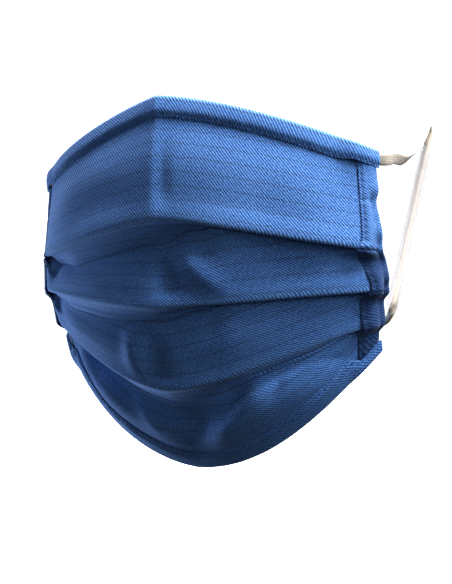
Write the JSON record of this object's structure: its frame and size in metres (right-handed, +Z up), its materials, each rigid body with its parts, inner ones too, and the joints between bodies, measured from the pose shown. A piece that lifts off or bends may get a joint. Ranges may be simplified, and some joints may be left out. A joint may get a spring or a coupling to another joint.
{
  "type": "cloth face mask",
  "caption": "Pleated cloth face mask, worn open, with bound edges, side channels and elastic ear loops in sleeves.",
  "frame": {"origin": "the point on the inside of the top band that rests on the bridge of the nose", "axes": "+Z up, -Y the way the wearer looks, +X towards the side seen nearest in the picture"},
  "size_m": [0.165, 0.0969, 0.1473],
  "materials": {
    "body_cloth": "matt blue twill with fine dashed lines along its width",
    "binding_cloth": "matt blue twill, stitched",
    "elastic": "cream woven elastic",
    "sleeve": "soft translucent tube"
  },
  "bodies": {
    "root": {"pleated_body": "body_cloth", "top_band": "binding_cloth", "bottom_band": "binding_cloth", "side_channel_right": "binding_cloth", "side_channel_left": "binding_cloth", "ear_loop_right": "elastic", "ear_loop_left": "elastic", "ear_sleeve_right": "sleeve", "ear_sleeve_left": "sleeve"}
  },
  "joints": []
}
